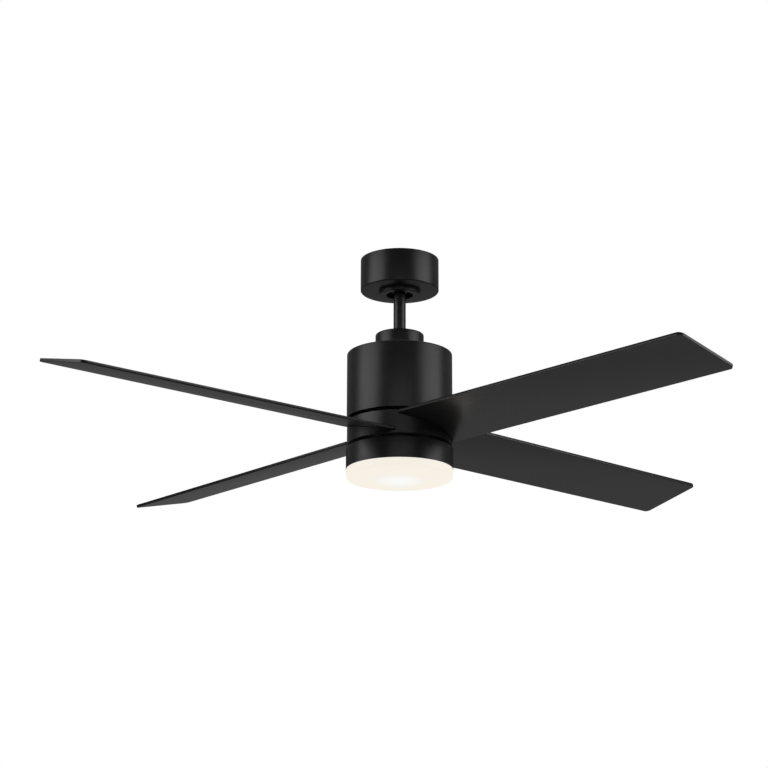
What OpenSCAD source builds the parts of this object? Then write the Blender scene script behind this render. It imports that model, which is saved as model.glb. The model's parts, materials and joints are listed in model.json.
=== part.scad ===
// Four-blade ceiling fan with a round light, in millimetres, +Z up.
// The origin is the middle of the canopy's rim on the ceiling, so the whole fan hangs below zero.

/* [Canopy] */
// Outside diameter of the canopy
canopy_d = 129.4; // [128:0.2:136]
// Depth of the canopy below the ceiling
canopy_h = 54.4; // [54:0.1:57]
// Outside diameter of the ring that hides the canopy's screws
screw_ring_d = 68; // [65:1:70]
// Depth of that ring below the canopy
screw_ring_h = 6.5; // [5.5:0.5:8]
// Distance between the two slots for the outlet box's screws
box_spacing = 88.9; // [84:0.1:90]

/* [Hanger] */
// Diameter of the hanger ball
ball_d = 44; // [43:0.5:45]
// Outside diameter of the downrod
rod_d = 20.3; // [19:0.1:21]
// Depth of the motor housing's top below the ceiling
drop = 163.5; // [160:0.5:420]

/* [Motor housing] */
// Outside diameter of the motor housing
housing_d = 172.6; // [170:0.2:190]
// Height of the motor housing
housing_h = 110.6; // [109:0.2:130]
// Outside diameter of the cup over the yoke
cover_d = 79.6; // [76:0.2:90]
// Height of the cup over the yoke
cover_h = 34.2; // [34:0.1:45]
// Height of the open groove above and below the rotor band
groove_h = 5.2; // [4.5:0.1:8]

/* [Rotor band and blades] */
// Outside diameter of the rotor band
band_d = 171.4; // [170:0.2:190]
// Height of the rotor band
band_h = 38.6; // [38:0.2:44]
// Diameter that the blade tips sweep
sweep_d = 1320.8; // [1000:0.2:1400]
// Width of a blade at its root
blade_root_w = 125.4; // [120:0.2:126]
// Width of a blade at its tip
blade_tip_w = 120.2; // [90:0.2:124]
// Thickness of a blade
blade_t = 5; // [4:0.1:5.4]
// Pitch of a blade about its own length, in degrees
blade_pitch = 13.3; // [10:0.1:13.5]
// Droop of a blade below level, in degrees
blade_droop = 0.55; // [0:0.05:1]
// Angle of the first blade from +X, in degrees
blade_phase = 41.7; // [0:0.1:89]

/* [Light] */
// Outside diameter of the light ring
light_d = 174.4; // [172:0.2:192]
// Height of the light ring
light_h = 34.8; // [34:0.1:50]
// Depth of the lens below the light ring
lens_h = 15.7; // [12:0.1:25]

/* [Hidden] */
$fn = 96;

black = "#1c1c1c";
steel = "#9a9a9a";
cast = "#b4b6b8";
eps = 0.5;                      // how far a cut runs past the face it opens
gap = 0.05;                     // clearance on a radius where a pin or shaft sits in its hole

// levels, from the ceiling down
ball_z = -38;
canopy_bottom = -canopy_h;
housing_top = -drop;
housing_bottom = housing_top - housing_h;
cover_top = housing_top + cover_h;
band_top = housing_bottom - groove_h;
band_bottom = band_top - band_h;
light_top = band_bottom - groove_h;
light_bottom = light_top - light_h;
blade_z = (band_top + band_bottom) / 2 + 2.2;

// screw radii, and how far each screw's head reaches out and down
small_r = 1.5;
medium_r = 2;
large_r = 2.5;
small_head = [3, 1.8];
medium_head = [3.8, 2.6];
light_head = [3.8, 2.2];
carrier_head = [3.6, 2.4];
large_head = [4.5, 2.6];
set_screw_l = 9;
key_hole_r = 1.3;               // hexagon in a set screw's end

// sheet and shell thicknesses
sheet_t = 1.2;
housing_t = 1.5;
band_t = 2;

// outside radii of the covers' rounded edges
canopy_edge_r = 2;
screw_ring_edge_r = 1.5;
cover_edge_r = 2.5;
housing_edge_r = 2;
lens_edge_r = 5;

// canopy and hanger bracket
canopy_r = canopy_d / 2;
canopy_hole_r = 23.5;
canopy_screw_x = 28;
canopy_screw_r = 1.9;
canopy_head = [3.5, 2.4];
canopy_post_r = 4;
plate_t = 2.5;
plate_w = 44;
plate_l = 110;
slot_r = 2.75;
slot_l = 14;
wire_hole_x = 20;
wire_hole_r = 8;
arm_x = 34;
arm_w = 30;
ball_r = ball_d / 2;
seat_r = ball_r + 0.3;
seat_top = ball_z - 8;
seat_bottom = ball_z - 14;
mouth_w = rod_d + 1.7;          // front slot that lets the rod into the cradle
key_w = 3;                      // tab that keeps the ball from turning
key_depth = 2;
receiver_bottom = canopy_bottom + sheet_t + 0.5;
receiver_l = 52;
receiver_w = 18;
receiver_h = 32;
receiver_y = 38;
connector_angles = [150, 171, 192];
connector_r = 51;
connector_h = 17;
connector_mouth_r = 3.6;
connector_mouth_h = 9;
connector_top = -28;
lead_r = 1.2;
lead_level_step = 4;            // height between the three leads that run round the canopy

// downrod and its pins
rod_r = rod_d / 2;
rod_bore_r = 7.5;
rod_top = ball_z + 12;
rod_bottom = housing_top + 4;
ball_bottom = ball_z - 20;
pin_r = 3;
pin_z = ball_z + 6;
pin_l = 34;
set_screw_z = ball_z - 6;

// yoke, shaft and motor
yoke_r = 15;
yoke_top = housing_top + 22;
flange_r = 32;
flange_t = 4;
flange_bottom = housing_top - housing_t - flange_t;
clevis_z = housing_top + 15;
yoke_screw_z = housing_top + 8;
housing_screw_r = 25;
shaft_r = 8.5;
shaft_bore_r = 6;
motor_top = flange_bottom - 9;
motor_h = 70;
motor_bottom = motor_top - motor_h;
bell_r = 72;
bell_wall = 4;
bell_h = 25;
bearing_r = 20;
bearing_h = 12;
cage_r = 55.6;
stator_r = 55;
stator_h = 16;
stator_z = (motor_top + motor_bottom) / 2;
bell_screw_r = 64;
screw_turn = 45;
spoke_count = 16;               // teeth of the stator and coils between them
winding_r = 35;                 // inner radius of the coil heads
winding_w = 9;
winding_h = 10;

// blade carrier
carrier_r = 44;
carrier_bore_r = 36;
carrier_flange_r = 56;
carrier_screw_r = 50;
band_plate_t = 2.5;
carrier_bottom = band_bottom + band_plate_t;
blade_root_u = 60;              // distance of a blade's root edge from the axis
blade_end_u = sqrt(pow(sweep_d / 2, 2) - pow(blade_tip_w / 2, 2));
root_corner_r = 8;
tip_corner_r = 9;
gasket_t = 1;
pad_t = 4;
pad_w = 48;
pad_l = 39;
gasket_l = 15;
gasket_w = 46;
blade_screw_u = 70;
blade_screw_v = 16;
blade_slot_gap = 0.5;

// light
light_r = light_d / 2;
light_wall = 1.5;
plate_r = 60;
light_plate_t = 2;
shaft_bottom = light_top - 10;
light_screw_r = 45;
light_screw_turn = 30;
post_turn = 90;
tray_top = light_bottom + 10;
tray_r = light_r - light_wall - 4;
post_r = 76;
board_r = 66;
board_hole_r = 6;
board_t = 1.6;
board_bottom = tray_top - sheet_t - board_t;
lens_r = light_r - 0.3;
lens_wall = 2.5;
neck_r = light_r - light_wall - 2.7;
neck_top = light_bottom + 6;
lug_r = light_r - light_wall - 0.5;
lug_span = 12;
lug_angles = [30, 150, 270];
lug_top = light_bottom + 4.6;
lug_low = light_bottom + 2.8;
keeper_r = neck_r + 0.5;
keeper_top = light_bottom + 2.4;
keeper_low = light_bottom + 0.8;

blade_angles = [for (i = [0:3]) blade_phase + 90 * i];

// ---- shared shapes ----

// Drum of radius r from z_top down by h; the lower edge is rounded by edge_r.
module drum(r, z_top, h, edge_r) {
    translate([0, 0, z_top - h]) rotate_extrude() {
        square([r - edge_r, h]);
        translate([0, edge_r]) square([r, h - edge_r]);
        translate([r - edge_r, edge_r]) circle(edge_r);
    }
}

// The same drum with its upper edge rounded.
module dome(r, z_bottom, h, edge_r) {
    translate([0, 0, z_bottom]) rotate_extrude() {
        square([r - edge_r, h]);
        square([r, h - edge_r]);
        translate([r - edge_r, h - edge_r]) circle(edge_r);
    }
}

// Ring from z_low to z_high between two radii.
module ring(r_in, r_out, z_low, z_high) {
    difference() {
        translate([0, 0, z_low]) cylinder(r = r_out, h = z_high - z_low);
        translate([0, 0, z_low - eps]) cylinder(r = r_in, h = z_high - z_low + 2 * eps);
    }
}

// Copies at equal angles round the axis, at radius r.
module around(count, r, start = 0) {
    for (i = [0:count - 1]) rotate([0, 0, start + i * 360 / count]) translate([r, 0, 0]) children();
}

// Pan-head screw that points up from its head, whose underside bears on z = 0.
module screw_up(r, length, head) {
    head_r = head[0];
    head_h = head[1];
    cylinder(r = r, h = length);
    difference() {
        translate([0, 0, -head_h]) cylinder(r = head_r, h = head_h);
        for (a = [0, 90]) rotate([0, 0, a]) translate([-head_r * 0.6, -0.5, -head_h - eps])
            cube([head_r * 1.2, 1, head_h * 0.5 + eps]);
    }
}

// The same screw pointing down.
module screw_down(r, length, head) {
    mirror([0, 0, 1]) screw_up(r, length, head);
}

// Headless set screw that points along +Z, with a hexagon socket in its far end.
module set_screw() {
    difference() {
        cylinder(r = large_r, h = set_screw_l);
        translate([0, 0, set_screw_l - 2]) cylinder(r = key_hole_r, h = 3, $fn = 6);
    }
}

// Quarter bend of a round lead in the XZ plane: it leaves the origin along +Z and ends along +X.
module bend(wire_r, bend_r) {
    translate([bend_r, 0, 0]) rotate([90, 0, 180]) rotate_extrude(angle = 90, $fn = 32)
        translate([bend_r, 0]) circle(wire_r);
}

// A blade's own place: u runs out along the blade, v across it and n up through it.
module at_blade(angle) {
    translate([0, 0, blade_z]) rotate([0, 0, angle]) rotate([0, blade_droop, 0])
        rotate([-blade_pitch, 0, 0]) children();
}

// ---- fixed to the ceiling ----

module hanger_bracket() {
    color(steel) difference() {
        union() {
            translate([-plate_l / 2, -plate_w / 2, -plate_t]) cube([plate_l, plate_w, plate_t]);
            for (side = [-1, 1]) {
                translate([side * (arm_x + plate_t / 2) - plate_t / 2, -arm_w / 2, seat_top - plate_t])
                    cube([plate_t, arm_w, -seat_top + plate_t]);
                translate([side * canopy_screw_x, 0, canopy_bottom + sheet_t])
                    cylinder(r = canopy_post_r, h = seat_top - canopy_bottom - sheet_t);
            }
            translate([0, 0, seat_top - plate_t]) cylinder(r = arm_x + plate_t, h = plate_t);
            intersection() {
                translate([0, 0, ball_z]) sphere(r = seat_r + plate_t);
                translate([0, 0, seat_bottom]) cylinder(r = arm_x, h = seat_top - seat_bottom);
            }
        }
        translate([0, 0, ball_z]) difference() {
            sphere(r = seat_r);
            difference() {
                translate([-key_w / 2, 0, -seat_r]) cube([key_w, seat_r, seat_r]);
                translate([-key_w, 0, 0]) rotate([0, 90, 0])
                    cylinder(r = seat_r - key_depth, h = 2 * key_w);
            }
        }
        translate([-mouth_w / 2, -canopy_r, canopy_bottom]) cube([mouth_w, canopy_r, -canopy_bottom - 20]);
        for (side = [-1, 1]) {
            for (end = [-1, 1])
                translate([side * box_spacing / 2 + end * (slot_l / 2 - slot_r), 0, -plate_t - eps])
                    cylinder(r = slot_r, h = plate_t + 2 * eps);
            translate([side * box_spacing / 2 - slot_l / 2 + slot_r, -slot_r, -plate_t - eps])
                cube([slot_l - 2 * slot_r, 2 * slot_r, plate_t + 2 * eps]);
            translate([side * wire_hole_x, 0, -plate_t - eps])
                cylinder(r = wire_hole_r, h = plate_t + 2 * eps);
            translate([side * canopy_screw_x, 0, canopy_bottom]) cylinder(r = canopy_screw_r + gap, h = 12);
        }
    }
}

module canopy() {
    color(black) difference() {
        drum(canopy_r, 0, canopy_h, canopy_edge_r);
        drum(canopy_r - sheet_t, eps, canopy_h - sheet_t + eps, canopy_edge_r - sheet_t);
        translate([0, 0, canopy_bottom - eps]) cylinder(r = canopy_hole_r, h = 3);
        for (side = [-1, 1]) translate([side * canopy_screw_x, 0, canopy_bottom - eps])
            cylinder(r = canopy_screw_r + 0.3, h = 3);
    }
}

module canopy_screws() {
    color(steel) for (side = [-1, 1]) translate([side * canopy_screw_x, 0, canopy_bottom])
        screw_up(canopy_screw_r, 10, canopy_head);
}

module canopy_ring() {
    color(black) difference() {
        drum(screw_ring_d / 2, canopy_bottom, screw_ring_h, screw_ring_edge_r);
        drum(screw_ring_d / 2 - sheet_t, canopy_bottom + eps, screw_ring_h - sheet_t + eps,
            screw_ring_edge_r - sheet_t);
        translate([0, 0, canopy_bottom - screw_ring_h - eps]) cylinder(r = ball_r, h = screw_ring_h);
    }
}

module receiver_box() {
    color("#e4e4e0") translate([-receiver_l / 2, receiver_y, receiver_bottom])
        cube([receiver_l, receiver_w, receiver_h]);
}

module wire_connectors() {
    color("#c77a2a") for (a = connector_angles)
        rotate([0, 0, a]) translate([connector_r, 0, connector_top - connector_h]) difference() {
            union() {
                cylinder(r1 = 3, r2 = 5.5, h = connector_h);
                for (wing = [0, 180]) rotate([0, 0, wing]) translate([0, -1, 2]) cube([6.5, 2, 9]);
            }
            translate([0, 0, connector_h - connector_mouth_h + 1])
                cylinder(r = connector_mouth_r, h = connector_mouth_h);
        }
}

module supply_leads() {
    arc_start = 122;
    for (i = [0:2]) {
        level = connector_top + lead_level_step * (i + 1);
        color(["black", "white", "green"][i]) {
            rotate([0, 0, arc_start]) rotate_extrude(angle = connector_angles[i] - arc_start + 1.5)
                translate([connector_r, level]) circle(lead_r, $fn = 32);
            rotate([0, 0, connector_angles[i]]) translate([connector_r, 0, connector_top - 6])
                cylinder(r = lead_r - 0.2, h = level - connector_top + 6, $fn = 32);
        }
        x = 6 * (i - 1);
        color(["black", "white", "blue"][i]) translate([x, receiver_y + 7, receiver_bottom + receiver_h]) {
            cylinder(r = lead_r, h = 4, $fn = 32);
            translate([0, 0, 4]) rotate([0, 0, -90]) bend(lead_r, 6);
            translate([0, -6, 10]) rotate([90, 0, 0]) cylinder(r = lead_r, h = 29 + abs(x) / 3, $fn = 32);
        }
    }
}

// ---- hangs from the ball ----

module hanger_ball() {
    color("#202020") difference() {
        intersection() {
            translate([0, 0, ball_z]) sphere(r = ball_r);
            translate([0, 0, ball_bottom]) cylinder(r = ball_r + 1, h = rod_top - ball_bottom);
        }
        translate([0, 0, ball_bottom - eps]) cylinder(r = rod_r + gap, h = rod_top - ball_bottom + 2 * eps);
        difference() {
            translate([-key_w / 2 - 0.5, 0, ball_bottom - eps]) cube([key_w + 1, ball_r + 1, ball_d]);
            translate([-ball_r, 0, ball_z]) rotate([0, 90, 0])
                cylinder(r = seat_r - key_depth - 0.5, h = ball_d);
        }
        translate([-pin_l / 2 - 0.5, -pin_r - 0.2, pin_z]) cube([pin_l + 1, 2 * pin_r + 0.4, ball_r]);
        translate([-pin_l / 2 - 0.5, 0, pin_z]) rotate([0, 90, 0]) cylinder(r = pin_r + 0.2, h = pin_l + 1);
        translate([0, 0, set_screw_z]) rotate([90, 0, 0]) cylinder(r = large_r + gap, h = ball_r);
    }
}

module hanger_pin() {
    color(steel) translate([-pin_l / 2, 0, pin_z]) rotate([0, 90, 0]) cylinder(r = pin_r, h = pin_l);
}

module ball_set_screw() {
    color(steel) translate([0, -rod_r, set_screw_z]) rotate([90, 0, 0]) set_screw();
}

module downrod() {
    color(black) difference() {
        translate([0, 0, rod_bottom]) cylinder(r = rod_r, h = rod_top - rod_bottom);
        translate([0, 0, rod_bottom - eps]) cylinder(r = rod_bore_r, h = rod_top - rod_bottom + 2 * eps);
        for (z = [pin_z, clevis_z]) translate([-rod_d, 0, z]) rotate([0, 90, 0])
            cylinder(r = pin_r + gap, h = 2 * rod_d);
    }
}

module yoke_cover() {
    color(black) difference() {
        dome(cover_d / 2, housing_top, cover_h, cover_edge_r);
        dome(cover_d / 2 - sheet_t, housing_top - eps, cover_h - sheet_t + eps, cover_edge_r - sheet_t);
        translate([0, 0, cover_top - 5]) cylinder(r = rod_r + 0.4, h = 6);
    }
}

module motor_yoke() {
    color(steel) difference() {
        union() {
            translate([0, 0, flange_bottom]) cylinder(r = yoke_r, h = yoke_top - flange_bottom);
            translate([0, 0, flange_bottom]) cylinder(r = flange_r, h = flange_t);
        }
        translate([0, 0, rod_bottom]) cylinder(r = rod_r + gap, h = yoke_top - rod_bottom + eps);
        translate([0, 0, flange_bottom - eps])
            cylinder(r = shaft_r + gap, h = rod_bottom - flange_bottom + 1);
        translate([-flange_r, 0, clevis_z]) rotate([0, 90, 0]) cylinder(r = pin_r + gap, h = 2 * flange_r);
        translate([0, flange_r, yoke_screw_z]) rotate([90, 0, 0])
            cylinder(r = large_r + gap, h = 2 * flange_r);
        around(4, housing_screw_r, screw_turn) translate([0, 0, flange_bottom - eps])
            cylinder(r = medium_r + gap, h = flange_t + 2 * eps);
    }
}

module clevis_pin() {
    color(steel) {
        translate([-yoke_r - 5, 0, clevis_z]) rotate([0, 90, 0]) difference() {
            cylinder(r = pin_r, h = 2 * yoke_r + 9);
            translate([0, 4, 2]) rotate([90, 0, 0]) cylinder(r = 1, h = 8);
        }
        translate([yoke_r + 0.2, 0, clevis_z]) rotate([0, 90, 0]) cylinder(r = 4.5, h = 2);
    }
}

module cotter_pin() {
    color(steel) translate([-yoke_r - 3, 0, clevis_z]) {
        for (side = [-1, 1]) translate([side * 0.45, 7, 0]) rotate([90, 0, 0]) cylinder(r = 0.4, h = 14);
        translate([0, 8.2, 0]) rotate([0, 0, 90]) rotate_extrude($fn = 32) translate([1.4, 0]) circle(0.5);
    }
}

module yoke_set_screws() {
    color(steel) for (a = [90, 270])
        rotate([0, 0, a]) translate([rod_r, 0, yoke_screw_z]) rotate([0, 90, 0]) set_screw();
}

module housing() {
    color(black) difference() {
        dome(housing_d / 2, housing_bottom, housing_h, housing_edge_r);
        dome(housing_d / 2 - housing_t, housing_bottom - eps, housing_h - housing_t + eps,
            housing_edge_r - housing_t);
        translate([0, 0, housing_top - 3]) cylinder(r = yoke_r + 0.5, h = 4);
        around(4, housing_screw_r, screw_turn) translate([0, 0, housing_top - 3]) cylinder(r = 2.3, h = 4);
    }
}

module housing_screws() {
    color(steel) around(4, housing_screw_r, screw_turn) translate([0, 0, housing_top])
        screw_down(medium_r, housing_t + flange_t + 2, medium_head);
}

module motor_shaft() {
    color("#c8c8c8") ring(shaft_bore_r, shaft_r, shaft_bottom, rod_bottom);
}

module shaft_circlips() {
    clip_t = 1.2;
    color(steel) for (z = [motor_top + 0.5, motor_bottom - 0.5 - clip_t]) difference() {
        ring(shaft_r, shaft_r + 2.6, z, z + clip_t);
        translate([-1.5, -20, z - eps]) cube([3, 20, clip_t + 2 * eps]);
    }
}

module stator_core() {
    color("#6e7074") difference() {
        ring(shaft_r, stator_r, stator_z - stator_h / 2, stator_z + stator_h / 2);
        around(spoke_count, 0) translate([31, -2.5, stator_z - stator_h]) cube([16, 5, 2 * stator_h]);
        around(spoke_count, 0) translate([46, -1, stator_z - stator_h]) cube([12, 2, 2 * stator_h]);
    }
}

module stator_windings() {
    half = stator_h / 2;
    color("#a8582a") {
        for (side = [-1, 1]) translate([0, 0, stator_z + side * (half + 5.2)]) rotate_extrude() {
            translate([winding_r, -winding_h / 2]) square([winding_w, winding_h]);
            for (x = [winding_r, winding_r + winding_w]) translate([x, 0]) circle(winding_h / 2);
        }
        around(spoke_count, 0) translate([32, -2.2, stator_z - half - 3]) cube([14, 4.4, stator_h + 6]);
    }
}

module internal_leads() {
    color("#303030") for (place = [[-1.4, 4.35], [1.4, 4.35], [0, -4.4]])
        translate([place[0], place[1], shaft_bottom + 1])
            cylinder(r = lead_r, h = rod_top - shaft_bottom - 1.5, $fn = 32);
}

module light_plate() {
    color(steel) difference() {
        translate([0, 0, light_top]) cylinder(r = plate_r, h = light_plate_t);
        translate([0, 0, light_top - eps]) cylinder(r = shaft_r + gap, h = light_plate_t + 2 * eps);
        around(3, light_screw_r, light_screw_turn) translate([0, 0, light_top - eps])
            cylinder(r = medium_r + gap, h = light_plate_t + 2 * eps);
    }
}

module shaft_nut() {
    color(steel) difference() {
        translate([0, 0, light_top - 7]) cylinder(r = 13, h = 7, $fn = 6);
        translate([0, 0, light_top - 8]) cylinder(r = shaft_r + gap, h = 9);
    }
}

// Sector of a ring, centred on an angle
module ring_sector(r_in, r_out, z_low, z_high, middle, span) {
    rotate([0, 0, middle - span / 2]) rotate_extrude(angle = span)
        translate([r_in, z_low]) square([r_out - r_in, z_high - z_low]);
}

module light_ring() {
    wall_r = light_r - light_wall;
    color(black) {
        difference() {
            dome(light_r, light_bottom, light_h, 1);
            translate([0, 0, light_bottom - eps]) cylinder(r = wall_r, h = light_h - light_wall + eps);
            translate([0, 0, light_top - 3]) cylinder(r = 18, h = 4);
            around(3, light_screw_r, light_screw_turn) translate([0, 0, light_top - 3])
                cylinder(r = 2.3, h = 4);
        }
        for (a = lug_angles) {
            ring_sector(keeper_r, wall_r + 0.5, keeper_low, keeper_top, a, 16);
            ring_sector(keeper_r + 0.3, wall_r + 0.5, keeper_low + 0.4, lug_top + 1, a - 9, 4);
        }
        around(3, post_r, post_turn) difference() {
            translate([0, 0, tray_top]) cylinder(r = 3.5, h = light_top - 1 - tray_top);
            translate([0, 0, tray_top - eps]) cylinder(r = small_r + gap, h = 9);
        }
    }
}

module light_ring_screws() {
    color(steel) around(3, light_screw_r, light_screw_turn) translate([0, 0, light_top - light_wall])
        screw_up(medium_r, light_wall + light_plate_t, light_head);
}

module led_driver() {
    color("#d8d8d4") translate([-32, -40, light_top - light_wall - 15]) difference() {
        cube([64, 25, 15]);
        for (x = [4, 60]) translate([x, 12.5, -eps]) cylinder(r = 1.6, h = 16);
    }
}

module run_capacitor() {
    color("#2b2b2b") translate([-24, 25, light_top - light_wall - 18]) cube([48, 22, 18]);
}

module led_tray() {
    color("white") difference() {
        union() {
            translate([0, 0, tray_top - sheet_t]) cylinder(r = tray_r, h = sheet_t);
            ring(tray_r - sheet_t, tray_r, tray_top - sheet_t, tray_top + 4);
        }
        around(3, post_r, post_turn) translate([0, 0, tray_top - 2 * sheet_t])
            cylinder(r = 1.8, h = 3 * sheet_t);
        translate([0, 0, tray_top - 2 * sheet_t]) cylinder(r = board_hole_r, h = 3 * sheet_t);
    }
}

module tray_screws() {
    color(steel) around(3, post_r, post_turn) translate([0, 0, tray_top - sheet_t])
        screw_up(small_r, 8, small_head);
}

module led_board() {
    color("#f2f2ee") difference() {
        translate([0, 0, board_bottom]) cylinder(r = board_r, h = board_t);
        translate([0, 0, board_bottom - eps]) cylinder(r = board_hole_r, h = board_t + 2 * eps);
    }
}

module led_chips() {
    color("#f6e08a") for (row = [[18, 6], [36, 12], [54, 18]])
        around(row[1], row[0]) translate([-1.4, -1.75, board_bottom - 0.72]) cube([2.8, 3.5, 0.7]);
}

// ---- turns with the blades ----

// One bell of the rotor: hub at z = 0 opening downward, with the skirt reaching bell_h below.
module bell(wall_t) {
    difference() {
        union() {
            difference() {
                translate([0, 0, -bell_h]) cylinder(r = bell_r, h = bell_h);
                translate([0, 0, -bell_h - eps])
                    cylinder(r = bell_r - bell_wall, h = bell_h - wall_t + eps);
            }
            translate([0, 0, -bearing_h - 1]) cylinder(r = bearing_r + 4, h = bearing_h);
            around(4, bell_screw_r, screw_turn) translate([0, 0, -bell_h + 1])
                cylinder(r = 5, h = bell_h - 2);
        }
        translate([0, 0, -bearing_h - 1 - eps]) cylinder(r = bearing_r + gap, h = bearing_h + eps);
        translate([0, 0, -bell_h]) cylinder(r = shaft_r + 5, h = bell_h + eps);
        around(4, bell_screw_r, screw_turn) translate([0, 0, -bell_h - eps])
            cylinder(r = medium_r + gap, h = bell_h + 2 * eps);
        around(12, 45, 15) translate([0, 0, -wall_t - eps]) cylinder(r = 4.5, h = wall_t + 2 * eps);
    }
}

module rotor_upper_bell() {
    color(cast) translate([0, 0, motor_top]) bell(4);
}

module rotor_lower_bell() {
    color(cast) translate([0, 0, motor_bottom]) mirror([0, 0, 1]) difference() {
        bell(4);
        around(4, carrier_screw_r) translate([0, 0, -5]) cylinder(r = medium_r + gap, h = 6);
    }
}

module rotor_ring() {
    color("#808488") difference() {
        ring(cage_r, bell_r, motor_bottom + bell_h, motor_top - bell_h);
        around(4, bell_screw_r, screw_turn) translate([0, 0, motor_bottom])
            cylinder(r = medium_r + gap, h = motor_h);
    }
}

// Shielded ball bearing, hub face at z = 0 and its body above
module bearing() {
    difference() {
        ring(shaft_r + gap, bearing_r, 0, bearing_h);
        for (z = [-eps, bearing_h - 0.8]) translate([0, 0, z]) difference() {
            cylinder(r = bearing_r - 3, h = 0.8 + eps);
            translate([0, 0, -1]) cylinder(r = shaft_r + 3, h = 4);
        }
    }
}

module upper_bearing() {
    color("#d0d0d0") translate([0, 0, motor_top - 1 - bearing_h]) bearing();
}

module lower_bearing() {
    color("#d0d0d0") translate([0, 0, motor_bottom + 1]) bearing();
}

module bell_screws() {
    color(steel) around(4, bell_screw_r, screw_turn) translate([0, 0, motor_bottom])
        screw_up(medium_r, motor_h + 1.5, medium_head);
}

module blade_carrier() {
    color(cast) difference() {
        union() {
            translate([0, 0, carrier_bottom]) cylinder(r = carrier_r, h = motor_bottom - carrier_bottom);
            translate([0, 0, motor_bottom - 4]) cylinder(r = carrier_flange_r, h = 4);
            for (a = blade_angles) at_blade(a)
                translate([carrier_bore_r + 3, -pad_w / 2, blade_t / 2 + gasket_t])
                    cube([pad_l, pad_w, pad_t]);
        }
        translate([0, 0, carrier_bottom - eps])
            cylinder(r = carrier_bore_r, h = motor_bottom - carrier_bottom + 1);
        around(4, carrier_screw_r) translate([0, 0, motor_bottom - 5]) cylinder(r = medium_r + gap, h = 6);
        around(4, (carrier_r + carrier_bore_r) / 2) translate([0, 0, carrier_bottom - eps])
            cylinder(r = small_r + gap, h = 10);
        for (a = blade_angles) at_blade(a) for (v = [-blade_screw_v, 0, blade_screw_v])
            translate([blade_screw_u, v, blade_t / 2])
                cylinder(r = large_r + gap, h = pad_t + gasket_t + eps);
    }
}

module carrier_screws() {
    color(steel) around(4, carrier_screw_r) translate([0, 0, motor_bottom - 4])
        screw_up(medium_r, 7.5, carrier_head);
}

// Outline of a blade, with its straight root and tip and its rounded corners
module blade_outline(grow = 0) {
    half_root = blade_root_w / 2 + grow;
    half_tip = blade_tip_w / 2 + grow;
    slope = atan((half_root - half_tip) / (blade_end_u - blade_root_u));
    u0 = blade_root_u - grow;
    u1 = blade_end_u + grow;
    r0 = root_corner_r + grow;
    r1 = tip_corner_r + grow;
    v0 = half_root - r0 / cos(slope) - r0 * tan(slope);
    v1 = half_tip - r1 / cos(slope) + r1 * tan(slope);
    for (side = [-1, 1]) {
        translate([u0 + r0, side * v0]) circle(r0);
        translate([u1 - r1, side * v1]) circle(r1);
    }
    polygon([
        [u0, -v0], [u0 + r0 * (1 + sin(slope)), -v0 - r0 * cos(slope)],
        [u1 - r1 * (1 - sin(slope)), -v1 - r1 * cos(slope)], [u1, -v1],
        [u1, v1], [u1 - r1 * (1 - sin(slope)), v1 + r1 * cos(slope)],
        [u0 + r0 * (1 + sin(slope)), v0 + r0 * cos(slope)], [u0, v0]
    ]);
}

module blade(index) {
    color("#232323") at_blade(blade_angles[index]) difference() {
        translate([0, 0, -blade_t / 2]) linear_extrude(blade_t) blade_outline();
        for (v = [-blade_screw_v, 0, blade_screw_v]) translate([blade_screw_u, v, -blade_t])
            cylinder(r = large_r + gap, h = 2 * blade_t);
    }
}

module blade_1() { blade(0); }
module blade_2() { blade(1); }
module blade_3() { blade(2); }
module blade_4() { blade(3); }

module blade_gaskets() {
    color("#3a3a3a") for (a = blade_angles) at_blade(a) difference() {
        translate([blade_root_u + 2, -gasket_w / 2, blade_t / 2]) cube([gasket_l, gasket_w, gasket_t]);
        for (v = [-blade_screw_v, 0, blade_screw_v]) translate([blade_screw_u, v, blade_t / 2 - eps])
            cylinder(r = large_r + gap, h = gasket_t + 2 * eps);
    }
}

module blade_screws() {
    color(steel) for (a = blade_angles) at_blade(a) for (v = [-blade_screw_v, 0, blade_screw_v])
        translate([blade_screw_u, v, -blade_t / 2])
            screw_up(large_r, blade_t + gasket_t + pad_t + 1, large_head);
}

module rotor_band() {
    inner_r = band_d / 2 - band_t;
    color(black) difference() {
        union() {
            ring(inner_r, band_d / 2, band_bottom, band_top);
            ring(carrier_bore_r - 2, inner_r + 0.5, band_bottom, carrier_bottom);
        }
        for (a = blade_angles) at_blade(a) translate([0, 0, -blade_t / 2 - blade_slot_gap])
            linear_extrude(blade_t + 2 * blade_slot_gap) blade_outline(blade_slot_gap);
        around(4, (carrier_r + carrier_bore_r) / 2) translate([0, 0, band_bottom - eps]) {
            cylinder(r = small_r + gap, h = 4);
            cylinder(r1 = 3.6, r2 = small_r, h = 2.3);
        }
    }
}

module band_screws() {
    color(steel) around(4, (carrier_r + carrier_bore_r) / 2) translate([0, 0, band_bottom]) {
        cylinder(r1 = 3, r2 = small_r, h = 1.8);
        cylinder(r = small_r, h = 9);
    }
}

// ---- turns off its keepers ----

module lens() {
    color("#fff6e6") {
        difference() {
            union() {
                drum(lens_r, light_bottom - 0.3, lens_h - 0.3, lens_edge_r);
                translate([0, 0, light_bottom - 2]) cylinder(r = neck_r, h = neck_top - light_bottom + 2);
            }
            translate([0, 0, 0.1])
                drum(neck_r - lens_wall, light_bottom, lens_h - lens_wall, lens_edge_r - 1);
            translate([0, 0, light_bottom - 1]) cylinder(r = neck_r - lens_wall, h = 9);
        }
        for (a = lug_angles) ring_sector(neck_r - 1, lug_r, lug_low, lug_top, a, lug_span);
    }
}

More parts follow.
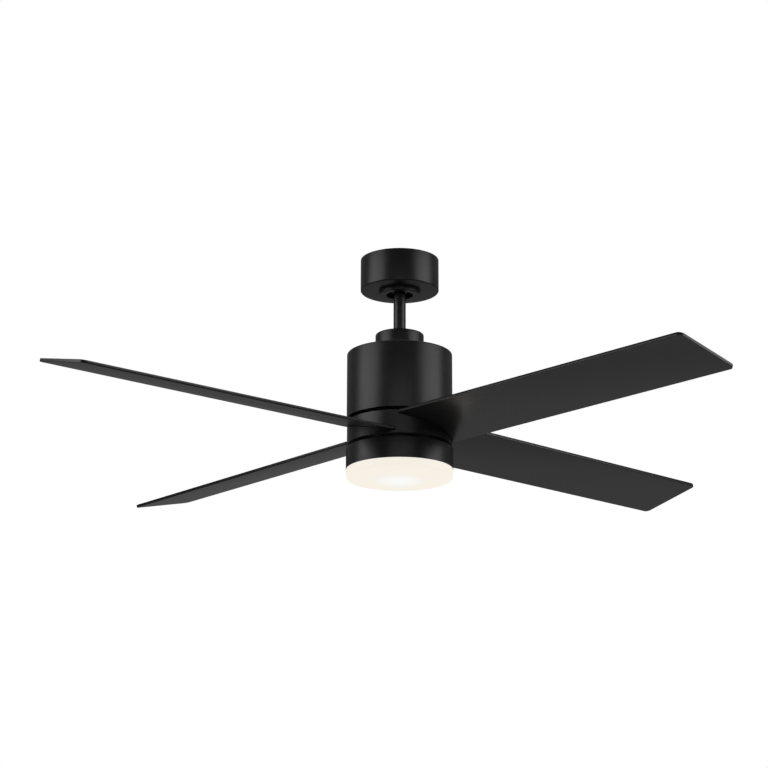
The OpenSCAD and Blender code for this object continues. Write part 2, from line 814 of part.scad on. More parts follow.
hanger_bracket();
canopy();
canopy_screws();
canopy_ring();
receiver_box();
wire_connectors();
supply_leads();
hanger_ball();
hanger_pin();
ball_set_screw();
downrod();
yoke_cover();
motor_yoke();
clevis_pin();
cotter_pin();
yoke_set_screws();
housing();
housing_screws();
motor_shaft();
shaft_circlips();
stator_core();
stator_windings();
internal_leads();
light_plate();
shaft_nut();
light_ring();
light_ring_screws();
led_driver();
run_capacitor();
led_tray();
tray_screws();
led_board();
led_chips();
rotor_upper_bell();
rotor_ring();
rotor_lower_bell();
upper_bearing();
lower_bearing();
bell_screws();
blade_carrier();
carrier_screws();
rotor_band();
band_screws();
blade_1();
blade_2();
blade_3();
blade_4();
blade_gaskets();
blade_screws();
lens();
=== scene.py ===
"""The looks of a four-blade ceiling fan with a light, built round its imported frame.

Lengths are in metres, +Z is up and the ceiling is at z = 0.
"""
import json
import math

import bmesh
import bpy
from mathutils import Matrix, Vector

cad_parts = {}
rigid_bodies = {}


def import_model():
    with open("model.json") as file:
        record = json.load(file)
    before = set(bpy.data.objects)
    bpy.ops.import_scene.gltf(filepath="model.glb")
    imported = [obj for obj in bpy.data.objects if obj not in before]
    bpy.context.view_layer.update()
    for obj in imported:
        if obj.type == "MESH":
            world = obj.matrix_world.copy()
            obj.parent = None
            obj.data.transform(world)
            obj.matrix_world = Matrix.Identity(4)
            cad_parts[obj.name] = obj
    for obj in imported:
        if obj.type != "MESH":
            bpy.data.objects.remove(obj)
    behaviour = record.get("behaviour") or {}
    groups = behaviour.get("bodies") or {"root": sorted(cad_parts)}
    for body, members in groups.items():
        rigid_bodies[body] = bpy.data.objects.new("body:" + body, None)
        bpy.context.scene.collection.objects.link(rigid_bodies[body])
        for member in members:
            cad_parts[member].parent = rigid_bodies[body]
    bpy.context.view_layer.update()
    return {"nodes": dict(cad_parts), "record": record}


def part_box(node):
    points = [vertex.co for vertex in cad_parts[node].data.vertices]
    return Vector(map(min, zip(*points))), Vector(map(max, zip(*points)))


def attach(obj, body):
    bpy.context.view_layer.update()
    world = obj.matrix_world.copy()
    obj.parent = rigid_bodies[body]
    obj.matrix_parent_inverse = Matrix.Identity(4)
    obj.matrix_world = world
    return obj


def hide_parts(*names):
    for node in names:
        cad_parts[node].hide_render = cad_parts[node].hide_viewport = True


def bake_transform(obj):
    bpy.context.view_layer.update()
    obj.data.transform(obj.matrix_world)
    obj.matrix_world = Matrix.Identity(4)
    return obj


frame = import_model()

MM = 0.001
TURN_STEPS = 192                 # segments round a turned part
ARC_STEPS = 5                    # segments in a rounded corner
SHARP_ANGLE = math.radians(38)   # edges sharper than this stay crisp
TINY = 1e-7                      # points closer than this are one point

# ---- driving sizes, the same as the frame's ----
SHEET = 1.2 * MM
HOUSING_WALL = 1.5 * MM
CANOPY_HOLE = 23.5 * MM
SCREW_SPACING = 28 * MM          # distance of each canopy screw from the axis
BLADE_ROOT = 60 * MM             # distance of a blade's root edge from the axis
BLADE_SWEEP = 1320.8 * MM
BLADE_ROOT_WIDTH = 125.4 * MM
BLADE_TIP_WIDTH = 120.2 * MM
BLADE_THICKNESS = 5 * MM
BLADE_PITCH = 13.3               # degrees, as are the next two
BLADE_DROOP = 0.55
BLADE_PHASE = 41.7
ROOT_CORNER = 8 * MM
TIP_CORNER = 9 * MM
BLADE_LIFT = 2.2 * MM            # height of the blades' middle above the band's
SLOT_GAP = 0.5 * MM              # room round a blade where it passes through the band
BAND_WALL = 2 * MM
BAND_PLATE = 2.5 * MM
BAND_HOLE = 34 * MM
BALL_Z = -38 * MM
BALL_RADIUS = 22 * MM
PIN_Z = BALL_Z + 6 * MM
ROD_BORE = 7.5 * MM
LEAD_RADIUS = 1.2 * MM
LENS_WALL = 2.5 * MM
LUG_ANGLES = (30, 150, 270)
POST_ANGLES = (90, 210, 330)
POST_SPACING = 76 * MM           # distance of each tray post from the axis
POST_RADIUS = 3.5 * MM

# ---- camera, lights and surroundings ----
CAMERA_PLACE = (0.0, -3.58869, -1.23801)
CAMERA_PITCH = 15.936            # degrees above level
CAMERA_YAW = 0.408
CAMERA_ROLL = 0.142
CAMERA_LENS = 106.84
FAN_MIDDLE = (0, 0, -0.22)
FLOOR_Z = -4.7
FLOOR_SIZE = 24
FLOOR_GLOW = 0.8
ROOM_FRONT = 0.01                # light from the camera's side of the room
ROOM_BACK = 0.18                 # light from the white wall behind the fan


def make_camera():
    data = bpy.data.cameras.new("camera")
    data.lens = CAMERA_LENS
    data.sensor_width = 36.0
    data.dof.use_dof = False
    camera = bpy.data.objects.new("camera", data)
    bpy.context.scene.collection.objects.link(camera)
    aim = (Matrix.Rotation(math.radians(CAMERA_YAW), 4, "Z")
           @ Matrix.Rotation(math.radians(90 + CAMERA_PITCH), 4, "X")
           @ Matrix.Rotation(math.radians(CAMERA_ROLL), 4, "Z"))
    camera.matrix_world = Matrix.Translation(CAMERA_PLACE) @ aim
    bpy.context.scene.camera = camera


def make_light(name, place, aim_at, size, power):
    data = bpy.data.lights.new(name, "AREA")
    data.shape = "RECTANGLE"
    data.size, data.size_y = size
    data.energy = power
    light = bpy.data.objects.new(name, data)
    bpy.context.scene.collection.objects.link(light)
    light.location = place
    light.rotation_euler = (Vector(aim_at) - Vector(place)).to_track_quat("-Z", "Y").to_euler()


def make_world():
    """White to the camera. As a source of light, the room is dark in front and pale behind the fan."""
    world = bpy.data.worlds.new("studio")
    bpy.context.scene.world = world
    world.use_nodes = True
    nodes, links = world.node_tree.nodes, world.node_tree.links
    nodes.clear()
    path = nodes.new("ShaderNodeLightPath")
    place = nodes.new("ShaderNodeTexCoord")
    split = nodes.new("ShaderNodeSeparateXYZ")
    depth = nodes.new("ShaderNodeMapRange")
    depth.interpolation_type = "SMOOTHSTEP"
    depth.inputs["From Min"].default_value = 0.0
    depth.inputs["From Max"].default_value = 0.95
    depth.inputs["To Min"].default_value = ROOM_FRONT
    depth.inputs["To Max"].default_value = ROOM_BACK
    seen = nodes.new("ShaderNodeBackground")
    lit = nodes.new("ShaderNodeBackground")
    mix = nodes.new("ShaderNodeMixShader")
    seen.inputs["Color"].default_value = (1, 1, 1, 1)
    lit.inputs["Color"].default_value = (1, 1, 1, 1)
    out = nodes.new("ShaderNodeOutputWorld")
    links.new(place.outputs["Generated"], split.inputs["Vector"])
    links.new(split.outputs["Y"], depth.inputs["Value"])
    links.new(depth.outputs["Result"], lit.inputs["Strength"])
    links.new(path.outputs["Is Camera Ray"], mix.inputs["Fac"])
    links.new(lit.outputs[0], mix.inputs[1])
    links.new(seen.outputs[0], mix.inputs[2])
    links.new(mix.outputs[0], out.inputs["Surface"])


def make_floor():
    """A pale floor far below, which throws no light of its own onto the fan."""
    bpy.ops.mesh.primitive_plane_add(size=FLOOR_SIZE, location=(0, 0, FLOOR_Z))
    floor = bpy.context.object
    floor.name = "floor"
    floor.visible_diffuse = False
    floor.visible_glossy = False
    paper = simple_material("floor_paper", (0.5, 0.5, 0.5), 0.9)
    shader = paper.node_tree.nodes["Principled BSDF"]
    shader.inputs["Emission Color"].default_value = (1, 1, 1, 1)
    shader.inputs["Emission Strength"].default_value = FLOOR_GLOW
    floor.data.materials.append(paper)


def make_softbox(name, azimuth, height, size, power, reach=3.2):
    """A softbox that faces the fan; azimuth is measured from the camera's side, towards +X."""
    turn = math.radians(azimuth)
    place = (reach * math.sin(turn), -reach * math.cos(turn), height)
    make_light(name, place, FAN_MIDDLE, size, power)


def make_studio():
    bpy.context.scene.view_settings.view_transform = "Standard"
    make_world()
    make_floor()
    make_softbox("softbox_left", -71, 0.45, (2.9, 2.2), 40)
    make_softbox("softbox_right", 73, 0.45, (2.9, 2.2), 39)
    make_light("floor_bounce", (0, 2.7, -2.38), (0, 2.7, 0), (7.0, 3.6), 6.8)
    make_light("floor_glow", (0, 0, FLOOR_Z + 0.1), (0, 0, 0), (6.0, 6.0), 55)
    make_light("overhead", (0, 0.3, 2.6), (0, 0, 0), (2.6, 2.6), 26)
    make_light("front_fill", (0.1, -1.6, -0.1), (0, 0, -0.36), (1.5, 0.2), 1.8)


# ---- materials ----

def new_material(name):
    material = bpy.data.materials.new(name)
    material.use_nodes = True
    nodes = material.node_tree.nodes
    return material, nodes, material.node_tree.links, nodes["Principled BSDF"]


def simple_material(name, colour, roughness):
    material, _nodes, _links, shader = new_material(name)
    shader.inputs["Base Color"].default_value = (*colour, 1)
    shader.inputs["Roughness"].default_value = roughness
    return material


def add_noise(nodes, links, scale, detail, stretch):
    """A noise texture over the object's own coordinates, stretched along its axes."""
    place = nodes.new("ShaderNodeTexCoord")
    mapping = nodes.new("ShaderNodeMapping")
    mapping.inputs["Scale"].default_value = stretch
    noise = nodes.new("ShaderNodeTexNoise")
    noise.inputs["Scale"].default_value = scale
    noise.inputs["Detail"].default_value = detail
    links.new(place.outputs["Object"], mapping.inputs["Vector"])
    links.new(mapping.outputs["Vector"], noise.inputs["Vector"])
    return noise


def add_ramp(nodes, links, source, low, high, start=0.3, end=0.7):
    """A two-colour ramp over a value."""
    ramp = nodes.new("ShaderNodeValToRGB")
    for stop, position, colour in zip(ramp.color_ramp.elements, (start, end), (low, high)):
        stop.position = position
        stop.color = (*colour, 1)
    links.new(source, ramp.inputs["Fac"])
    return ramp


def add_bump(nodes, links, shader, height, distance):
    bump = nodes.new("ShaderNodeBump")
    bump.inputs["Distance"].default_value = distance
    bump.inputs["Strength"].default_value = 1.0
    links.new(height, bump.inputs["Height"])
    links.new(bump.outputs["Normal"], shader.inputs["Normal"])


def grey(value):
    return (value, value, value)


def textured(name, dark, light, roughness, metallic=0.0, specular=0.5, colour_scale=60, grain_scale=900,
             grain=0.02 * MM, stretch=(1, 1, 1)):
    """A finish whose colour, roughness and surface all vary a little: two noises drive them."""
    material, nodes, links, shader = new_material(name)
    shader.inputs["Metallic"].default_value = metallic
    shader.inputs["Specular IOR Level"].default_value = specular
    broad = add_noise(nodes, links, colour_scale, 4, stretch)
    fine = add_noise(nodes, links, grain_scale, 2, stretch)
    colour = add_ramp(nodes, links, broad.outputs["Fac"], dark, light)
    links.new(colour.outputs["Color"], shader.inputs["Base Color"])
    gloss = add_ramp(nodes, links, broad.outputs["Fac"], grey(roughness[0]), grey(roughness[1]))
    links.new(gloss.outputs["Color"], shader.inputs["Roughness"])
    add_bump(nodes, links, shader, fine.outputs["Fac"], grain)
    return material


def opal_material():
    """Lit opal acrylic: cream at the wall, whiter towards the middle of its flat bottom."""
    white = (0.905, 0.92, 0.90)
    cream = (0.885, 0.835, 0.745)
    bright_spot = 12 * MM          # distance of the brightest spot behind the axis
    material, nodes, links, shader = new_material("opal_acrylic")
    shader.inputs["Base Color"].default_value = (0.1, 0.1, 0.1, 1)
    shader.inputs["Roughness"].default_value = 0.5
    shader.inputs["Specular IOR Level"].default_value = 0.25
    shader.inputs["Emission Strength"].default_value = 1.0
    place = nodes.new("ShaderNodeTexCoord")
    flat = nodes.new("ShaderNodeMapping")
    flat.inputs["Scale"].default_value = (1, 1, 0)
    flat.inputs["Location"].default_value = (0, -bright_spot, 0)
    reach = nodes.new("ShaderNodeVectorMath")
    reach.operation = "LENGTH"
    share = nodes.new("ShaderNodeMath")
    share.operation = "DIVIDE"
    share.inputs[1].default_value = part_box("lens")[1].x
    links.new(place.outputs["Object"], flat.inputs["Vector"])
    links.new(flat.outputs["Vector"], reach.inputs[0])
    links.new(reach.outputs["Value"], share.inputs[0])
    ramp = add_ramp(nodes, links, share.outputs[0], white, cream, 0.1, 0.6)
    ramp.color_ramp.interpolation = "EASE"
    links.new(ramp.outputs["Color"], shader.inputs["Emission Color"])
    return material


MATERIALS = {
    "matte_black": textured("black_powder_coat", grey(0.010), grey(0.013), (0.35, 0.39)),
    "black_blade": textured("black_blade_paint", grey(0.014), grey(0.018), (0.27, 0.30), colour_scale=30,
                            grain_scale=420, grain=0.004 * MM),
    "black_steel": textured("black_dipped_steel", grey(0.012), grey(0.02), (0.38, 0.5)),
    "zinc_steel": textured("zinc_plate", (0.40, 0.40, 0.37), (0.56, 0.56, 0.54), (0.30, 0.45), 1.0),
    "screw_steel": textured("plated_screws", grey(0.32), grey(0.45), (0.25, 0.38), 1.0, grain_scale=1500),
    "shaft_steel": textured("ground_steel", grey(0.50), grey(0.60), (0.18, 0.28), 1.0, stretch=(1, 1, 12)),
    "core_steel": textured("laminated_steel", (0.20, 0.21, 0.23), (0.30, 0.31, 0.33), (0.40, 0.55), 0.9,
                           stretch=(0.2, 0.2, 14)),
    "cast_aluminium": textured("cast_aluminium", grey(0.42), grey(0.55), (0.42, 0.58), 1.0, grain_scale=500,
                               grain=0.06 * MM),
    "copper_winding": textured("enamelled_copper", (0.40, 0.13, 0.04), (0.60, 0.24, 0.09), (0.28, 0.40),
                               0.9),
    "ball_plastic": textured("gloss_nylon", grey(0.010), grey(0.013), (0.16, 0.20), grain=0.004 * MM),
    "receiver_plastic": textured("white_abs", grey(0.68), grey(0.74), (0.40, 0.5)),
    "capacitor_plastic": textured("black_resin", grey(0.02), grey(0.03), (0.35, 0.5)),
    "connector_plastic": textured("orange_connector", (0.75, 0.22, 0.03), (0.85, 0.28, 0.05), (0.35, 0.45)),
    "lead_insulation": textured("lead_insulation", grey(0.03), grey(0.04), (0.38, 0.45)),
    "gasket_rubber": textured("gasket_rubber", grey(0.03), grey(0.045), (0.7, 0.8)),
    "white_steel": textured("white_enamel", grey(0.78), grey(0.84), (0.35, 0.45)),
    "led_yellow": textured("led_phosphor", (0.85, 0.70, 0.20), (0.92, 0.78, 0.30), (0.4, 0.5)),
    "opal_lens": opal_material(),
}


def dress_frame():
    """Gives every node of the frame the finish of its slot."""
    slot_of = {part["node"]: part["material_slot"] for part in frame["record"]["subparts"]}
    for name, node in frame["nodes"].items():
        node.data.materials.clear()
        node.data.materials.append(MATERIALS[slot_of[name]])


# ---- mesh helpers ----

def add_piece(name, mesh, slot):
    """Links a mesh as a piece with its finish."""
    piece = bpy.data.objects.new(name, mesh)
    bpy.context.scene.collection.objects.link(piece)
    mesh.materials.clear()
    mesh.materials.append(MATERIALS[slot])
    return piece


def stand_for(node, mesh, body, slot):
    """Adds a piece that rides on a body and stands for a frame node."""
    piece = add_piece(node + "_fine", mesh, slot)
    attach(piece, body)
    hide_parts(node)


def shade(mesh, angle=SHARP_ANGLE):
    """Smooth shading that keeps edges sharper than the angle crisp."""
    mesh.polygons.foreach_set("use_smooth", [True] * len(mesh.polygons))
    mesh.set_sharp_from_angle(angle=angle)
    mesh.update()
    return mesh


def fillet(corners, radii, steps=ARC_STEPS):
    """The outline through corners, in order, with each corner rounded by its radius."""
    outline = []
    count = len(corners)
    for i, corner in enumerate(corners):
        here = Vector(corner)
        before = (Vector(corners[i - 1]) - here).normalized()
        after = (Vector(corners[(i + 1) % count]) - here).normalized()
        radius = radii[i]
        if radius <= 0:
            outline.append(here)
            continue
        half = before.angle(after) / 2
        reach = radius / math.tan(half)
        centre = here + (before + after).normalized() * (radius / math.sin(half))
        start, end = here + before * reach - centre, here + after * reach - centre
        sweep = start.angle_signed(end)
        for k in range(steps + 1):
            turn = Matrix.Rotation(-sweep * k / steps, 2)
            outline.append(centre + turn @ start)
    return outline


def turned_mesh(name, outline, steps=TURN_STEPS):
    """Revolves a closed (radius, height) outline round the Z axis."""
    work = bmesh.new()
    rings = []
    for step in range(steps):
        angle = 2 * math.pi * step / steps
        across, along = math.cos(angle), math.sin(angle)
        rings.append([work.verts.new((p[0] * across, p[0] * along, p[1])) for p in outline])
    for step in range(steps):
        here, there = rings[step], rings[(step + 1) % steps]
        for i in range(len(outline)):
            j = (i + 1) % len(outline)
            if outline[i][0] < TINY and outline[j][0] < TINY:
                continue
            work.faces.new((here[i], there[i], there[j], here[j]))
    bmesh.ops.remove_doubles(work, verts=work.verts, dist=TINY)
    bmesh.ops.recalc_face_normals(work, faces=work.faces)
    mesh = bpy.data.meshes.new(name)
    work.to_mesh(mesh)
    work.free()
    return shade(mesh)


def radius_of(node):
    low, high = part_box(node)
    return max(high.x, high.y)


def levels_of(node):
    low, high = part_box(node)
    return low.z, high.z


def cut(mesh, cutters):
    """Subtracts the cutter meshes from a mesh with exact booleans and returns the new mesh."""
    scene = bpy.context.scene.collection.objects
    body = bpy.data.objects.new("cut_body", mesh)
    scene.link(body)
    tools = []
    for cutter in cutters:
        tool = bpy.data.objects.new("cut_tool", cutter)
        scene.link(tool)
        tools.append(tool)
        modifier = body.modifiers.new("cut", "BOOLEAN")
        modifier.operation = "DIFFERENCE"
        modifier.solver = "EXACT"
        modifier.object = tool
    bpy.context.view_layer.update()
    evaluated = body.evaluated_get(bpy.context.evaluated_depsgraph_get())
    result = bpy.data.meshes.new_from_object(evaluated)
    result.name = mesh.name + "_cut"
    for thing in [body, *tools]:
        bpy.data.objects.remove(thing)
    return result


def set_turned_normals(mesh):
    """Exact normals on a turned mesh that has been cut: straight out from the axis on round walls."""
    round_wall = 0.985             # how squarely a face of a round wall faces the axis
    mesh.polygons.foreach_set("use_smooth", [True] * len(mesh.polygons))
    normals = [Vector((0, 0, 1))] * len(mesh.loops)
    for face in mesh.polygons:
        middle = Vector((face.center.x, face.center.y, 0))
        outward = middle.normalized() if middle.length > TINY else Vector((0, 0, 1))
        facing = face.normal.dot(outward)
        for loop in face.loop_indices:
            normal = face.normal
            if abs(facing) > round_wall:
                spot = mesh.vertices[mesh.loops[loop].vertex_index].co
                normal = Vector((spot.x, spot.y, 0)).normalized() * math.copysign(1, facing)
            normals[loop] = normal
    mesh.normals_split_custom_set(normals)
    return mesh


def joined(name, meshes):
    """One mesh out of several."""
    work = bmesh.new()
    for mesh in meshes:
        work.from_mesh(mesh)
    result = bpy.data.meshes.new(name)
    work.to_mesh(result)
    work.free()
    return result


def rod_mesh(name, radius, start, end, steps=48):
    """A plain round bar between two points."""
    along = Vector(end) - Vector(start)
    mesh = turned_mesh(name, [(0, 0), (radius, 0), (radius, along.length), (0, along.length)], steps)
    mesh.transform(Matrix.Translation(start) @ along.to_track_quat("Z", "Y").to_matrix().to_4x4())
    return mesh


def box_mesh(name, low, high):
    outline = [(low[0], low[1]), (high[0], low[1]), (high[0], high[1]), (low[0], high[1])]
    return slab_mesh(name, [(outline, low[2]), (outline, high[2])])


def sector_mesh(name, inner, outer, low, high, middle, span, steps=12):
    """Part of a flat ring, centred on an angle in degrees."""
    angles = [math.radians(middle - span / 2 + span * k / steps) for k in range(steps + 1)]
    outline = [(outer * math.cos(a), outer * math.sin(a)) for a in angles]
    outline += [(inner * math.cos(a), inner * math.sin(a)) for a in reversed(angles)]
    return slab_mesh(name, [(outline, low), (outline, high)])


# ---- turned covers ----

def cover_mesh(node, corners, radii, steps=TURN_STEPS):
    """A turned shell whose corners are rounded by radii, in millimetres."""
    return turned_mesh(node, fillet(corners, [radius * MM for radius in radii]), steps)


def make_canopy():
    radius, (bottom, top) = radius_of("canopy"), levels_of("canopy")
    corners = [(CANOPY_HOLE, bottom), (radius, bottom), (radius, top), (radius - SHEET, top),
               (radius - SHEET, bottom + SHEET), (CANOPY_HOLE, bottom + SHEET)]
    shell = cover_mesh("canopy", corners, (0.4, 2, 0.4, 0.4, 0.8, 0.4))
    hole_radius = 2.2 * MM
    holes = [rod_mesh("hole", hole_radius, (x, 0, bottom - MM), (x, 0, bottom + 3 * MM))
             for x in (-SCREW_SPACING, SCREW_SPACING)]
    stand_for("canopy", shade(cut(shell, holes)), "ceiling", "matte_black")


def make_screw_ring():
    radius, (bottom, top) = radius_of("canopy_ring"), levels_of("canopy_ring")
    corners = [(BALL_RADIUS, bottom), (radius, bottom), (radius, top), (radius - SHEET, top),
               (radius - SHEET, bottom + SHEET), (BALL_RADIUS, bottom + SHEET)]
    shell = cover_mesh("canopy_ring", corners, (0.5, 1.5, 0.3, 0.3, 0.4, 0.3))
    stand_for("canopy_ring", shell, "ceiling", "matte_black")


def make_ball():
    """Moulded ball, cut flat at its poles, with its bore, the slot for its pin and its key groove."""
    low, high = levels_of("hanger_ball")
    bore = 10.2 * MM
    pin_half = 17.5 * MM
    pin_radius = 3.2 * MM
    groove_inner = 19.8 * MM
    groove_outer = BALL_RADIUS + MM
    groove_half = 2 * MM
    steps = 40
    start = math.asin((high - BALL_Z) / BALL_RADIUS)
    end = math.asin((low - BALL_Z) / BALL_RADIUS)
    angles = [start + (end - start) * k / steps for k in range(steps + 1)]
    outline = [(bore, low), (bore, high)]
    outline += [(BALL_RADIUS * math.cos(a), BALL_Z + BALL_RADIUS * math.sin(a)) for a in angles]
    ball = turned_mesh("hanger_ball", outline)
    slot = box_mesh("slot", (-pin_half, -pin_radius, PIN_Z), (pin_half, pin_radius, high + MM))
    pin_hole = rod_mesh("pin_hole", pin_radius, (-pin_half, 0, PIN_Z), (pin_half, 0, PIN_Z))
    groove = sector_mesh("groove", groove_inner, groove_outer, -groove_half, groove_half, 0, 120, 24)
    upright = Matrix.Rotation(math.radians(90), 4, "Z") @ Matrix.Rotation(math.radians(90), 4, "X")
    groove.transform(Matrix.Translation((0, 0, BALL_Z)) @ upright)
    stand_for("hanger_ball", shade(cut(ball, [slot, pin_hole, groove])), "hanging", "ball_plastic")


def make_rod():
    radius, (bottom, top) = radius_of("downrod"), levels_of("downrod")
    corners = [(ROD_BORE, bottom), (radius, bottom), (radius, top), (ROD_BORE, top)]
    stand_for("downrod", cover_mesh("downrod", corners, (0.4, 0.4, 0.4, 0.4)), "hanging", "matte_black")


def make_yoke_cover():
    radius, (bottom, top) = radius_of("yoke_cover"), levels_of("yoke_cover")
    hole = 10.55 * MM
    corners = [(radius - SHEET, bottom), (radius, bottom), (radius, top), (hole, top),
               (hole, top - SHEET), (radius - SHEET, top - SHEET)]
    shell = cover_mesh("yoke_cover", corners, (0.4, 0.4, 2.5, 0.5, 0.3, 1.3))
    stand_for("yoke_cover", shell, "hanging", "matte_black")


def drum_mesh(node, hole, radii):
    """A drum open below, with a hole in its top, at a frame node's own size."""
    radius, (bottom, top) = radius_of(node), levels_of(node)
    inner = radius - HOUSING_WALL
    corners = [(inner, bottom), (radius, bottom), (radius, top), (hole, top), (hole, top - HOUSING_WALL),
               (inner, top - HOUSING_WALL)]
    return cover_mesh(node, corners, radii)


def make_housing():
    shell = drum_mesh("housing", 15.5 * MM, (0.5, 0.6, 2, 0.4, 0.4, 0.5))
    stand_for("housing", shell, "hanging", "matte_black")


def make_light_ring():
    """The drum round the light, with its three screw posts and the keepers that hold the lens."""
    bottom, top = levels_of("light_ring")
    wall = radius_of("light_ring") - HOUSING_WALL + MM / 2
    keeper = wall - 2.7 * MM
    parts = [drum_mesh("light_ring", 18 * MM, (0.5, 0.6, 1, 0.4, 0.4, 0.4))]
    for angle in LUG_ANGLES:
        low, high = bottom + 0.8 * MM, bottom + 2.4 * MM
        parts.append(sector_mesh("keeper", keeper, wall, low, high, angle, 16))
        low, high = bottom + 1.2 * MM, bottom + 5.6 * MM
        parts.append(sector_mesh("stop", keeper + 0.3 * MM, wall, low, high, angle - 9, 4))
    for angle in POST_ANGLES:
        x = POST_SPACING * math.cos(math.radians(angle))
        y = POST_SPACING * math.sin(math.radians(angle))
        parts.append(rod_mesh("post", POST_RADIUS, (x, y, bottom + 10 * MM), (x, y, top - MM)))
    stand_for("light_ring", shade(joined("light_ring", parts)), "hanging", "matte_black")


def make_lens():
    """The opal cup: a rim that shows under the light ring, a neck inside it and three lugs."""
    radius, (bottom, top) = radius_of("lens"), levels_of("lens")
    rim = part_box("light_ring")[0].z - 0.3 * MM
    neck = radius - 3.9 * MM
    inner = neck - LENS_WALL
    corners = [(0, bottom), (radius, bottom), (radius, rim), (neck, rim), (neck, top), (inner, top),
               (inner, bottom + LENS_WALL), (0, bottom + LENS_WALL)]
    parts = [cover_mesh("lens", corners, (0, 5, 0.6, 0.4, 0.5, 0.5, 4, 0))]
    low, high = rim + 3.1 * MM, rim + 4.9 * MM
    for angle in LUG_ANGLES:
        parts.append(sector_mesh("lug", neck - MM, neck + 2.2 * MM, low, high, angle, 12))
    stand_for("lens", shade(joined("lens", parts)), "lens", "opal_lens")


# ---- blades and the band that they pass through ----

def blade_place(index):
    """The blade's own frame: X out along it, Y across it, Z up through it."""
    low, high = levels_of("rotor_band")
    lift = Matrix.Translation((0, 0, (low + high) / 2 + BLADE_LIFT))
    return (lift @ Matrix.Rotation(math.radians(BLADE_PHASE + 90 * index), 4, "Z")
            @ Matrix.Rotation(math.radians(BLADE_DROOP), 4, "Y")
            @ Matrix.Rotation(math.radians(-BLADE_PITCH), 4, "X"))


def blade_outline(grow):
    """The blade's edge seen from above, moved outward by grow."""
    corner_steps = 10
    half_root = BLADE_ROOT_WIDTH / 2 + grow
    half_tip = BLADE_TIP_WIDTH / 2 + grow
    near = BLADE_ROOT - grow
    far = math.sqrt((BLADE_SWEEP / 2) ** 2 - (BLADE_TIP_WIDTH / 2) ** 2) + grow
    corners = [(near, -half_root), (far, -half_tip), (far, half_tip), (near, half_root)]
    radii = [radius + grow for radius in (ROOT_CORNER, TIP_CORNER, TIP_CORNER, ROOT_CORNER)]
    return fillet(corners, radii, corner_steps)


def slab_mesh(name, layers):
    """Joins outlines of equal length, (points, height) from the bottom up, into a closed slab."""
    work = bmesh.new()
    rows = [[work.verts.new((p[0], p[1], height)) for p in points] for points, height in layers]
    for low, high in zip(rows, rows[1:]):
        for i in range(len(low)):
            j = (i + 1) % len(low)
            work.faces.new((low[i], low[j], high[j], high[i]))
    work.faces.new(list(reversed(rows[0])))
    work.faces.new(rows[-1])
    bmesh.ops.recalc_face_normals(work, faces=work.faces)
    mesh = bpy.data.meshes.new(name)
    work.to_mesh(mesh)
    work.free()
    return mesh


def rounded_layers(outline_at, low, high, edge, steps=3):
    """Layers of a slab whose rims are rounded by edge; outline_at(grow) gives each layer's points."""
    layers = []
    for k in range(steps + 1):
        angle = math.radians(90) * k / steps
        layers.append((outline_at(-edge * (1 - math.sin(angle))), low + edge * (1 - math.cos(angle))))
    mirrored = [(points, high - (height - low)) for points, height in reversed(layers)]
    return layers + mirrored


def make_blades():
    edge = 0.7 * MM
    crease = math.radians(50)
    half = BLADE_THICKNESS / 2
    layers = rounded_layers(blade_outline, -half, half, edge)
    for index in range(4):
        mesh = slab_mesh("blade", layers)
        mesh.transform(blade_place(index))
        stand_for(f"blade_{index + 1}", shade(mesh, crease), "rotor", "black_blade")


def make_band():
    """The band, with a slot for each blade; its finer steps keep the slots' edges true."""
    radius, (bottom, top) = radius_of("rotor_band"), levels_of("rotor_band")
    inner = radius - BAND_WALL
    corners = [(BAND_HOLE, bottom), (radius, bottom), (radius, top), (inner, top),
               (inner, bottom + BAND_PLATE), (BAND_HOLE, bottom + BAND_PLATE)]
    drum = cover_mesh("rotor_band", corners, (0.4, 0.6, 0.6, 0.5, 0.4, 0.4), 360)
    slots = []
    reach = BLADE_THICKNESS / 2 + SLOT_GAP
    outline = blade_outline(SLOT_GAP)
    for index in range(4):
        slot = slab_mesh("slot", [(outline, -reach), (outline, reach)])
        slot.transform(blade_place(index))
        slots.append(slot)
    mesh = set_turned_normals(cut(drum, slots))
    stand_for("rotor_band", mesh, "rotor", "matte_black")


# ---- small parts and wires ----

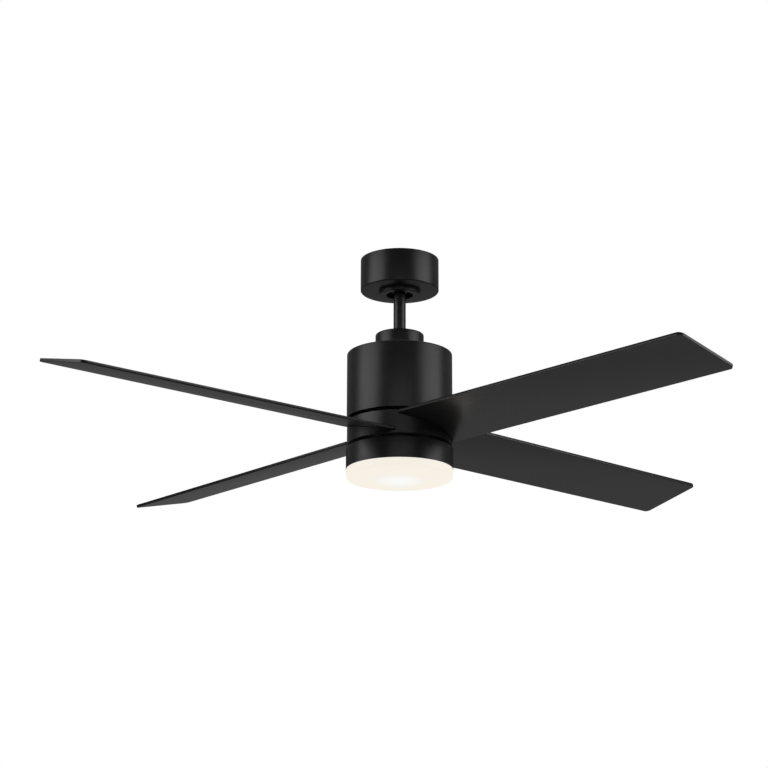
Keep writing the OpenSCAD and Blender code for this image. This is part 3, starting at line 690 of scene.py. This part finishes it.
def soften(node, width, segments=2):
    """Rounds the edges of a frame node a little."""
    modifier = frame["nodes"][node].modifiers.new("soft_edges", "BEVEL")
    modifier.width = width
    modifier.segments = segments
    modifier.limit_method = "ANGLE"
    modifier.angle_limit = math.radians(40)


def tube_mesh(name, points, radius):
    """A round wire along a smooth line through points."""
    curve = bpy.data.curves.new(name, "CURVE")
    curve.dimensions = "3D"
    curve.bevel_depth = radius
    curve.bevel_resolution = 6
    curve.resolution_u = 16
    spline = curve.splines.new("BEZIER")
    spline.bezier_points.add(len(points) - 1)
    for knot, point in zip(spline.bezier_points, points):
        knot.co = point
        knot.handle_left_type = "AUTO"
        knot.handle_right_type = "AUTO"
    holder = bpy.data.objects.new(name, curve)
    bpy.context.scene.collection.objects.link(holder)
    bpy.context.view_layer.update()
    mesh = bpy.data.meshes.new_from_object(holder.evaluated_get(bpy.context.evaluated_depsgraph_get()))
    bpy.data.objects.remove(holder)
    return shade(mesh)


def make_motor_leads():
    """Three leads from the receiver that bend down into the mouth of the downrod."""
    mouth = levels_of("downrod")[1]
    level = levels_of("receiver_box")[1] + 10 * MM
    ends = ((-1.4 * MM, 4.35 * MM), (0.0, -4.4 * MM), (1.4 * MM, 4.35 * MM))
    for index, (x, y) in enumerate(ends):
        start_x = 6 * MM * (index - 1)
        start_y = 10 * MM - abs(start_x) / 3
        points = [(start_x, start_y + 4 * MM, level), (start_x, start_y - MM, level),
                  ((start_x + x) / 2, (start_y + y) / 2 - MM, level - 5 * MM), (x, y, mouth + MM),
                  (x, y, mouth - 6 * MM)]
        name = f"motor_lead_{index + 1}"
        lead = add_piece(name, tube_mesh(name, points, LEAD_RADIUS + 0.05 * MM), "lead_insulation")
        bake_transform(lead)


def main():
    make_camera()
    make_studio()
    dress_frame()
    make_canopy()
    make_screw_ring()
    make_ball()
    make_rod()
    make_yoke_cover()
    make_housing()
    make_light_ring()
    make_lens()
    make_blades()
    make_band()
    for node in ("hanger_bracket", "receiver_box", "led_driver", "run_capacitor"):
        soften(node, 0.5 * MM)
    for node in ("canopy_screws", "band_screws", "motor_yoke", "wire_connectors"):
        soften(node, 0.2 * MM)
    make_motor_leads()


main()
